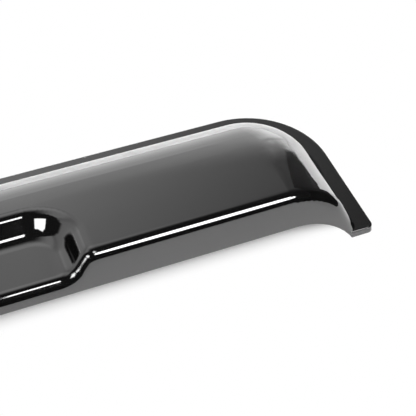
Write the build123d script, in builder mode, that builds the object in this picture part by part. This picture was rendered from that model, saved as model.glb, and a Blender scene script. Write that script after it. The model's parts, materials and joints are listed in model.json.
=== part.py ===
# Window rain deflector: one moulded shell with a bonding flange, a domed blade and a front lip
import os
from math import acos, cos, degrees, radians, sin, sqrt, tan

from build123d import *

# Overall sizes, in millimetres and degrees
length = 421.8
depth = 93.5
ridge_height = 33.0
wall = 3.2

# Flange round the back and the ends
flange_width = 8.2
corner_core = 8.5
corner_ease = 4.5
tip_radius = 2.8
edge_radius = 0.7

# Blade, which tilts down to the back and rolls over to the flange
draft = 26.0
blade_tilt = 8.0
crown_radius = 1500.0
back_radius = 40.0
back_overlap = 0.7
end_radius = 30.0

# Lip along the front
lip_lean = 12.0
ridge_radius = 5.2
lip_edge_height = 15.5
arch_radius = 33.0

# Recess in the blade, open to the front and measured on its floor
recess_length = 137.4
recess_reach = 30.6
recess_depth = 10.1
recess_slope = 39.0
recess_corner = 13.0
recess_shoulder = 6.6
recess_foot = 9.6

# Section through the blade, seen from the end, with the front of the lip's foot at its origin
section_plane = Plane(origin=(0, -depth / 2, 0), x_dir=(0, 1, 0), z_dir=(1, 0, 0))
lip_up = Vector(sin(radians(lip_lean)), cos(radians(lip_lean)))
blade_up = Vector(sin(radians(blade_tilt)), cos(radians(blade_tilt)))
ridge = lip_up * (ridge_height / lip_up.Y)
crown_centre = ridge - blade_up * crown_radius

# Roll at the back, whose circle touches the blade from inside and runs back_overlap past the back wall
wall_inset = flange_width - wall * tan(radians(draft))
wall_out = Vector(cos(radians(draft)), sin(radians(draft)))
roll_reach = (Vector(depth - wall_inset, 0) - crown_centre).dot(wall_out) - back_radius + back_overlap
roll_angle = 90 - draft - degrees(acos(roll_reach / (crown_radius - back_radius)))
roll_up = Vector(sin(radians(roll_angle)), cos(radians(roll_angle)))
roll_height = (crown_centre + roll_up * crown_radius).Y

# Back corners, which leave corner_core at the dome's heart once the ends have rolled over
end_run = end_radius * tan(radians(45 - draft / 2))
dome_corner = roll_height * tan(radians(draft)) + end_run + corner_core
flange_corner = dome_corner + wall_inset - corner_ease

# Planes of the lip's front and of the blade at the ridge
lip_plane = Plane(section_plane.origin, x_dir=(1, 0, 0), z_dir=(0, -lip_up.Y, lip_up.X))
blade_plane = Plane(
    section_plane.from_local_coords(ridge),
    x_dir=(1, 0, 0),
    z_dir=(0, blade_up.X, blade_up.Y),
)


def back_outline(inset, run_out, corner):
    """Outline moved in by inset from the flange's, with its front edge run_out ahead of the lip."""
    with BuildSketch(Plane.XY) as outline:
        with Locations((0, -(inset + run_out) / 2)):
            Rectangle(length - 2 * inset, depth - inset + run_out)
        fillet(outline.vertices().group_by(Axis.Y)[-1], radius=corner)
    return outline.sketch


def on_shoulder(edge, skin):
    """True for an edge where the recess walls meet the blade."""
    place = blade_plane.offset(-skin).to_local_coords(edge.center())
    margin = recess_depth + skin
    inside = abs(place.X) < recess_length / 2 + margin and place.Y < recess_reach + margin
    return inside and place.Z > -recess_depth / 4


def dome_form(skin):
    """Outside of the dome, or the hollow that lies skin below it."""
    inset = wall_inset + skin / cos(radians(draft))
    lip_foot = Vector(skin / lip_up.Y, 0)
    lip_base = lip_foot - lip_up * ridge_height
    rise = (lip_foot - crown_centre).dot(lip_up)
    spread = (lip_foot - crown_centre).length
    ridge_point = lip_foot + lip_up * (sqrt((crown_radius - skin) ** 2 - spread**2 + rise**2) - rise)
    roll_point = crown_centre + roll_up * (crown_radius - skin)
    with BuildPart() as form:
        # Block with drafted ends and back, cut to the section of the blade and the lip
        add(back_outline(inset, 2 * ridge_height, dome_corner + wall_inset - inset))
        extrude(amount=1.5 * ridge_height, taper=draft)
        with BuildSketch(section_plane) as section:
            with BuildLine():
                Line(lip_base, ridge_point)
                TangentArc(roll_point, ridge_point, tangent=(-roll_up.Y, roll_up.X))
                roll = JernArc(roll_point, (roll_up.Y, -roll_up.X), back_radius - skin, roll_angle - 90 + draft)
                Polyline(roll @ 1, (depth, (roll @ 1).Y), (depth, lip_base.Y), lip_base)
            make_face()
        extrude(amount=length / 2, both=True, mode=Mode.INTERSECT)
        # Recess, which narrows from recess_depth above the blade down to its floor
        for level in (recess_depth - skin, -recess_depth - skin):
            grow = (level + recess_depth) * tan(radians(recess_slope)) + skin / cos(radians(recess_slope))
            with BuildSketch(blade_plane.offset(level)) as recess:
                with Locations((0, (recess_reach + grow) / 2 - ridge_height)):
                    Rectangle(recess_length + 2 * grow, recess_reach + grow + 2 * ridge_height)
                fillet(recess.vertices().group_by(Axis.Y)[-1], radius=recess_corner + grow)
        loft(ruled=True, mode=Mode.SUBTRACT)
        # Blade rolled over into the ends and the back
        blade_edges = form.faces().filter_by(GeomType.CYLINDER).edges()
        rim = blade_edges.filter_by(Axis.X, reverse=True).filter_by(lambda edge: not on_shoulder(edge, skin))
        rim.append(blade_edges.filter_by(Axis.X).sort_by(Axis.Y)[-1])
        fillet(rim, radius=end_radius - skin)
        # Recess rounded at its foot and its shoulder
        floor = form.faces().filter_by(blade_plane)[0]
        fillet(floor.edges().sort_by(Axis.Y)[1:], radius=recess_foot + skin)
        fillet(form.edges().filter_by(lambda edge: on_shoulder(edge, skin)), radius=recess_shoulder - skin)
        # Ridge, rounded along the lip from tip to tip
        lip = form.faces().filter_by(lip_plane)[0]
        fillet(lip.edges().sort_by(Axis.Z)[1:], radius=ridge_radius - skin)
    return form.part


# Lower edge of the lip, with an arch down to the flange at each end
edge_rise = lip_edge_height / lip_up.Y
arch_end = length / 2 - flange_width - wall
arch_start = arch_end - sqrt(arch_radius**2 - (arch_radius - edge_rise) ** 2)

with BuildPart() as deflector:
    add(back_outline(0, 0, flange_corner))
    extrude(amount=wall)
    split(bisect_by=lip_plane, keep=Keep.BOTTOM)
    tips = deflector.edges().filter_by(lambda edge: 0 < edge.center().Z < wall).group_by(Axis.Y)[0]
    fillet(tips, radius=tip_radius)
    fillet(deflector.faces().sort_by(Axis.Z)[-1].edges(), radius=edge_radius)
    add(dome_form(0))
    add(dome_form(wall), mode=Mode.SUBTRACT)
    with BuildSketch(lip_plane) as arch:
        with BuildLine():
            Line((-arch_start, edge_rise), (arch_start, edge_rise))
            TangentArc((arch_start, edge_rise), (arch_end, 0), tangent=(1, 0))
            Polyline((arch_end, 0), (arch_end, -wall), (-arch_end, -wall), (-arch_end, 0))
            TangentArc((-arch_start, edge_rise), (-arch_end, 0), tangent=(-1, 0))
        make_face()
    extrude(amount=-2 * wall, mode=Mode.SUBTRACT)

os.makedirs("parts", exist_ok=True)
deflector.part.label = "deflector"
export_step(deflector.part, "parts/deflector.step")
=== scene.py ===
"""Looks of the window rain deflector: gloss black plastic on a white table in a small studio."""
import json
from math import cos, radians, sin

import bpy
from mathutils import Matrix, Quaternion, Vector

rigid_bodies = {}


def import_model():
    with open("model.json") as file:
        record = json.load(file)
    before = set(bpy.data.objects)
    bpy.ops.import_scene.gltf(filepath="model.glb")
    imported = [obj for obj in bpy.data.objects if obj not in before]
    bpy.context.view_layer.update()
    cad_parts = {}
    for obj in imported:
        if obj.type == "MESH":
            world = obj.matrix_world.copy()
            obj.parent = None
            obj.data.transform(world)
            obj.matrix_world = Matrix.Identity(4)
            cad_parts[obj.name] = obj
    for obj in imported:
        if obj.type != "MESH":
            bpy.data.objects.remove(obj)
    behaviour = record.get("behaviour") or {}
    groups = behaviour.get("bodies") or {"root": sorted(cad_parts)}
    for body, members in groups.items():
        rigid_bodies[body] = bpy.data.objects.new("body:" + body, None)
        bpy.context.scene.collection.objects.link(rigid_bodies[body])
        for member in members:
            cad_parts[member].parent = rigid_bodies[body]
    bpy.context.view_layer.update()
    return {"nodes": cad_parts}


# Lengths are in metres. Turns and rises are in degrees: a turn goes from the back round to the right,
# and a rise goes up from the table. Where a pair of numbers isn't a place or a noise, it gives the start
# and the end of a smooth change.

# Photograph's camera, with its square frame in pixels, its sensor in millimetres and its angles in radians
frame_pixels = 416
focal_pixels = 900
sensor_width = 36
clip_start = 0.01
camera_place = (0.040296, -0.275224, 0.321857)
camera_angles = (0.731293, 0.0, -0.364774)

# Plastic, polished on the face and satin on the flange and inside
plastic_black = 0.002
plastic_ior = 1.9
coat_ior = 1.5
coat_roughness = 0.02
face_roughness = 0.045
handled_roughness = 1.7 * face_roughness
satin_roughness = 0.22
satin_change = 0.08

# Satin places, by height and by the upward part of the normal
flange_top = (0.0034, 0.0036)
flange_facing = (0.96, 0.995)
inside_facing = (-0.02, -0.08)

# Noise in the plastic, as waves a metre and detail, and the relief that it gives
grain_noise = (1800, 2)
handling_noise = (28, 4)
peel_noise = (240, 1)
grain_range = (0.3, 0.7)
handling_range = (0.35, 0.75)
relief_depth = 0.00001
relief_strength = 0.5

# Places, both left and right, where the shading is blended: the dome's back corners and the recess's ends
corner_place = (0.178, 0.001)
corner_reach = (0.012, 0.030)
corner_blend = 0.016
recess_end = (0.0735, -0.029)
recess_reach = (0.010, 0.016)
recess_blend = 0.004
blend_samples = 16

# Table, plain white to the camera from just inside the object's outline on, and in the gloss from far off
table_size = 6.0
table_drop = 0.0002
table_white = 0.9
half_length = 0.211
half_depth = 0.04675
seen_white = (-0.018, -0.0055)
mirrored_white = (0.4, 1.2)

# Room, which is dark all round but for a pale wall at the back with a bright panel before it
room_level = 0.8
room_dark = 0.035
back_left = (-80, -72)
back_right = (55, 70)

# Wall, which darkens by wall_fall a degree to the right and changes on the far left, low down and high up
wall_middle = 1.03
wall_fall = 0.03
wall_darkest = 0.2
wall_lightest = 0.95
far_left_turns = (-30, -10)
far_left_level = 0.8
low_rises = (25, 36)
low_level = 0.82
high_rises = (37, 46)
high_turns = (26, 40)
high_levels = (1.55, 0.3)
wall_top = (52, 78)

# Panel, whose top edge bends down and softens to the right of panel_bend
panel_left = (-40, -15)
panel_rises = (0, 25)
panel_levels = (1.84, 1.42)
panel_bend = 18
panel_right = (panel_bend, 32)
panel_right_level = 1.6
panel_top = 26.2
edge_drop = 0.0365
edge_softness = 1.7
edge_softening = 0.09
edge_reach = 1.2

# Lamps, whose face has a brightness of 1 at face_watts a square metre
face_watts = 4
lamp_target = Vector((0.1, 0, 0.02))
lamp_distance = 1.6
table_lamp_target = Vector((0.2, 0.37, 0))
table_lamp_spread = 18

# Black card, with its corners from the back right end round to the front left
card_black = 0.01
card_foot = [(0.498, 0.30, 0), (0.302, 0, 0), (0.36, -0.30, 0), (-0.7, -0.30, 0)]
card_top = [(0.412, 0.368, 0.285), (0.302, 0, 0.16), (0.36, -0.30, 0.13), (-0.7, -0.30, 0.13)]


def grey(level):
    """Opaque grey from black at 0 to white at 1."""
    return (level, level, level, 1)


def feed(tree, socket, value):
    """Links a socket to another one, or sets it to a number."""
    if isinstance(value, bpy.types.NodeSocket):
        tree.links.new(value, socket)
    else:
        socket.default_value = value


def math_node(tree, operation, *values):
    """One step of arithmetic on sockets or numbers."""
    node = tree.nodes.new("ShaderNodeMath")
    node.operation = operation
    for socket, value in zip(node.inputs, values):
        feed(tree, socket, value)
    return node.outputs[0]


def product(tree, *factors):
    """All the factors multiplied together."""
    result = factors[0]
    for factor in factors[1:]:
        result = math_node(tree, "MULTIPLY", result, factor)
    return result


def ramp(tree, value, start, end, low=0.0, high=1.0):
    """Smooth change from low to high while value goes from start to end."""
    node = tree.nodes.new("ShaderNodeMapRange")
    node.interpolation_type = "SMOOTHSTEP"
    tree.links.new(value, node.inputs["Value"])
    node.inputs["From Min"].default_value = start
    node.inputs["From Max"].default_value = end
    node.inputs["To Min"].default_value = low
    node.inputs["To Max"].default_value = high
    return node.outputs["Result"]


def blend(tree, share, first, second):
    """First turning into second as share goes from 0 to 1."""
    node = tree.nodes.new("ShaderNodeMix")
    for socket, value in zip(node.inputs[0:1] + node.inputs[2:4], (share, first, second)):
        feed(tree, socket, value)
    return node.outputs[0]


def mix_shaders(tree, share, first, second):
    """First shader turning into second as share goes from 0 to 1."""
    node = tree.nodes.new("ShaderNodeMixShader")
    for socket, value in zip(node.inputs, (share, first, second)):
        tree.links.new(value, socket)
    return node.outputs[0]


def axes_of(tree, vector):
    """The three parts of a vector."""
    node = tree.nodes.new("ShaderNodeSeparateXYZ")
    tree.links.new(vector, node.inputs[0])
    return node.outputs


def noise(tree, place, scale, detail):
    """Soft noise from 0 to 1 at scale waves a metre."""
    node = tree.nodes.new("ShaderNodeTexNoise")
    node.inputs["Scale"].default_value = scale
    node.inputs["Detail"].default_value = detail
    tree.links.new(place, node.inputs["Vector"])
    return node.outputs["Fac"]


def near(tree, across, along, place, full, none):
    """1 within full metres of a place, on the left or the right, and 0 from none metres on."""
    aside = math_node(tree, "SUBTRACT", math_node(tree, "ABSOLUTE", across), place[0])
    behind = math_node(tree, "SUBTRACT", along, place[1])
    square = math_node(tree, "ADD", product(tree, aside, aside), product(tree, behind, behind))
    return ramp(tree, math_node(tree, "SQRT", square), full, none, 1, 0)


def satin_share(tree, height, facing):
    """1 on the flat of the flange and inside, and 0 on the polished face."""
    low = ramp(tree, height, *flange_top, 1, 0)
    flange = product(tree, low, ramp(tree, facing, *flange_facing))
    inside = ramp(tree, facing, *inside_facing)
    return math_node(tree, "MAXIMUM", flange, inside)


def blended_normal(tree, across, along):
    """Normal that is smoothed at the dome's back corners and at the recess's ends."""
    corner = product(tree, near(tree, across, along, corner_place, *corner_reach), corner_blend)
    end = product(tree, near(tree, across, along, recess_end, *recess_reach), recess_blend)
    node = tree.nodes.new("ShaderNodeBevel")
    node.samples = blend_samples
    tree.links.new(math_node(tree, "ADD", corner, end), node.inputs["Radius"])
    return node.outputs["Normal"]


def relief(tree, height, normal):
    """Normal with fine relief on it."""
    node = tree.nodes.new("ShaderNodeBump")
    node.inputs["Strength"].default_value = relief_strength
    node.inputs["Distance"].default_value = relief_depth
    tree.links.new(height, node.inputs["Height"])
    tree.links.new(normal, node.inputs["Normal"])
    return node.outputs["Normal"]


def gloss_black():
    """Black plastic with uneven polish and a faint orange peel, and with grain where it is satin."""
    material = bpy.data.materials.new("gloss_black")
    material.use_nodes = True
    tree = material.node_tree
    shader = tree.nodes["Principled BSDF"].inputs
    shader["Base Color"].default_value = grey(plastic_black)
    shader["IOR"].default_value = plastic_ior
    shader["Coat Weight"].default_value = 1
    shader["Coat IOR"].default_value = coat_ior
    shader["Coat Roughness"].default_value = coat_roughness
    coordinates = tree.nodes.new("ShaderNodeTexCoord").outputs
    place = coordinates["Object"]
    across, along, height = axes_of(tree, place)
    satin = satin_share(tree, height, axes_of(tree, coordinates["Normal"])["Z"])
    grain = noise(tree, place, *grain_noise)
    handling = noise(tree, place, *handling_noise)
    peel = noise(tree, place, *peel_noise)
    polish = ramp(tree, handling, *handling_range, face_roughness, handled_roughness)
    least, most = satin_roughness * (1 - satin_change), satin_roughness * (1 + satin_change)
    dull = ramp(tree, grain, *grain_range, least, most)
    tree.links.new(blend(tree, satin, polish, dull), shader["Roughness"])
    relief_height = math_node(tree, "ADD", peel, product(tree, satin, grain))
    tree.links.new(relief(tree, relief_height, blended_normal(tree, across, along)), shader["Normal"])
    return material


def plain_white_share(tree):
    """1 where the table is plain white to the camera or in the gloss, and 0 where it takes the light."""
    across, along = axes_of(tree, tree.nodes.new("ShaderNodeTexCoord").outputs["Object"])[:2]
    beside = math_node(tree, "SUBTRACT", math_node(tree, "ABSOLUTE", across), half_length)
    beyond = math_node(tree, "SUBTRACT", math_node(tree, "ABSOLUTE", along), half_depth)
    away = math_node(tree, "MAXIMUM", beside, beyond)
    path = tree.nodes.new("ShaderNodeLightPath").outputs
    seen = product(tree, path["Is Camera Ray"], ramp(tree, away, *seen_white))
    mirrored = product(tree, path["Is Glossy Ray"], ramp(tree, away, *mirrored_white))
    return math_node(tree, "MAXIMUM", seen, mirrored)


def table_paint():
    """White paint that keeps the object's shadow, and is see-through from below."""
    material = bpy.data.materials.new("white_table")
    material.use_nodes = True
    tree = material.node_tree
    tree.nodes.clear()
    paint = tree.nodes.new("ShaderNodeBsdfDiffuse")
    paint.inputs["Color"].default_value = grey(table_white)
    glow = tree.nodes.new("ShaderNodeEmission")
    clear = tree.nodes.new("ShaderNodeBsdfTransparent")
    below = tree.nodes.new("ShaderNodeNewGeometry").outputs["Backfacing"]
    top = mix_shaders(tree, plain_white_share(tree), paint.outputs[0], glow.outputs[0])
    surface = tree.nodes.new("ShaderNodeOutputMaterial").inputs["Surface"]
    tree.links.new(mix_shaders(tree, below, top, clear.outputs[0]), surface)
    return material


def white_table():
    """Large table just under the object."""
    bpy.ops.mesh.primitive_plane_add(size=table_size, location=(0, 0, -table_drop))
    table = bpy.context.object
    table.name = "table"
    table.data.materials.append(table_paint())


def pale_wall(tree, turn, rise):
    """Level of the wall."""
    shade = math_node(tree, "SUBTRACT", wall_middle, product(tree, turn, wall_fall))
    shade = math_node(tree, "MINIMUM", math_node(tree, "MAXIMUM", shade, wall_darkest), wall_lightest)
    left = ramp(tree, turn, *far_left_turns, far_left_level, 1)
    low = ramp(tree, rise, *low_rises, 1, low_level)
    high = blend(tree, ramp(tree, rise, *high_rises), 1, ramp(tree, turn, *high_turns, *high_levels))
    return product(tree, shade, left, low, high, ramp(tree, rise, *wall_top, 1, 0))


def panel_share(tree, turn, rise):
    """1 on the panel and 0 off it."""
    right = math_node(tree, "MAXIMUM", math_node(tree, "SUBTRACT", turn, panel_bend), 0)
    drop = product(tree, right, right, edge_drop)
    softness = math_node(tree, "ADD", edge_softness, product(tree, right, edge_softening))
    above = math_node(tree, "SUBTRACT", math_node(tree, "ADD", rise, drop), panel_top)
    under_edge = ramp(tree, math_node(tree, "DIVIDE", above, softness), -edge_reach, edge_reach, 1, 0)
    return product(tree, under_edge, ramp(tree, turn, *panel_left))


def bright_panel(tree, turn, rise):
    """Level of the panel, which is brighter at its foot and on the right."""
    foot = ramp(tree, rise, *panel_rises, *panel_levels)
    return product(tree, foot, ramp(tree, turn, *panel_right, 1, panel_right_level))


def studio_world():
    """White background for the camera, and the room for everything else."""
    world = bpy.data.worlds.new("studio")
    world.use_nodes = True
    tree = world.node_tree
    tree.nodes.clear()
    across, along, up = axes_of(tree, tree.nodes.new("ShaderNodeTexCoord").outputs["Generated"])
    turn = math_node(tree, "DEGREES", math_node(tree, "ARCTAN2", across, along))
    rise = math_node(tree, "DEGREES", math_node(tree, "ARCSINE", up))
    behind = product(tree, ramp(tree, turn, *back_left), ramp(tree, turn, *back_right, 1, 0))
    wall = pale_wall(tree, turn, rise)
    back = blend(tree, panel_share(tree, turn, rise), wall, bright_panel(tree, turn, rise))
    room = math_node(tree, "ADD", product(tree, behind, back), room_dark)
    camera = tree.nodes.new("ShaderNodeLightPath").outputs["Is Camera Ray"]
    light = tree.nodes.new("ShaderNodeBackground")
    light.inputs["Color"].default_value = grey(1)
    tree.links.new(blend(tree, camera, product(tree, room, room_level), 1), light.inputs["Strength"])
    tree.links.new(light.outputs[0], tree.nodes.new("ShaderNodeOutputWorld").inputs["Surface"])
    bpy.context.scene.world = world


def softbox(name, turn, rise, width, height, brightness, roll=0, shape="RECTANGLE"):
    """Area lamp that faces the object from a turn and a rise, rolled about its own axis."""
    lamp = bpy.data.lights.new(name, "AREA")
    lamp.shape = shape
    lamp.size = width
    lamp.size_y = height
    lamp.energy = face_watts * width * height * brightness
    holder = bpy.data.objects.new(name, lamp)
    bpy.context.collection.objects.link(holder)
    out = Vector((
        sin(radians(turn)) * cos(radians(rise)),
        cos(radians(turn)) * cos(radians(rise)),
        sin(radians(rise)),
    ))
    holder.location = lamp_target + out * lamp_distance
    roll_about_axis = Quaternion((0, 0, 1), radians(roll))
    holder.rotation_euler = (out.to_track_quat("Z", "Y") @ roll_about_axis).to_euler()
    holder.visible_camera = False
    return holder


def table_lamp():
    """Narrow lamp from the back right, which lights the table behind the object."""
    holder = softbox("table_lamp", turn=40, rise=62, width=0.5, height=0.5, brightness=4)
    holder.data.spread = radians(table_lamp_spread)
    holder.visible_glossy = False
    aim = table_lamp_target - holder.location
    holder.rotation_euler = aim.to_track_quat("-Z", "Y").to_euler()


def gloss_lamps():
    """Lamps that draw the lines and patches of light in the gloss."""
    softbox(
        "front_softbox", turn=158, rise=47.5, roll=-42,
        width=0.68, height=0.66, brightness=8, shape="ELLIPSE",
    )
    softbox("front_strip", turn=177, rise=70.5, roll=-4, width=0.165, height=0.32, brightness=8)
    softbox("camera_softbox", turn=-126, rise=39, width=0.62, height=0.4, brightness=6)
    softbox("left_softbox", turn=-118, rise=21, width=0.3, height=0.4, brightness=6)


def black_flag():
    """Black card that stands round the front and the right of the object, seen only in its gloss."""
    mesh = bpy.data.meshes.new("black_flag")
    mesh.from_pydata(card_foot + card_top, [], [(0, 1, 5, 4), (1, 2, 6, 5), (2, 3, 7, 6)])
    flag = bpy.data.objects.new("black_flag", mesh)
    bpy.context.collection.objects.link(flag)
    card = bpy.data.materials.new("black_card")
    card.use_nodes = True
    shader = card.node_tree.nodes["Principled BSDF"].inputs
    shader["Base Color"].default_value = grey(card_black)
    shader["Roughness"].default_value = 1
    mesh.materials.append(card)
    flag.visible_camera = False
    flag.visible_diffuse = False
    flag.visible_shadow = False


def photograph_camera():
    """Camera at the photograph's place."""
    lens = bpy.data.cameras.new("camera")
    lens.sensor_width = sensor_width
    lens.lens = focal_pixels * sensor_width / frame_pixels
    lens.clip_start = clip_start
    camera = bpy.data.objects.new("camera", lens)
    bpy.context.collection.objects.link(camera)
    camera.location = camera_place
    camera.rotation_euler = camera_angles
    bpy.context.scene.camera = camera


# Blender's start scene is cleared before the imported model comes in
for leftover in list(bpy.data.objects):
    bpy.data.objects.remove(leftover)

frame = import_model()

plastic = gloss_black()
for slot in frame["nodes"]["deflector"].material_slots:
    slot.material = plastic

white_table()
studio_world()
black_flag()
table_lamp()
gloss_lamps()
photograph_camera()
bpy.context.scene.view_settings.view_transform = "Standard"
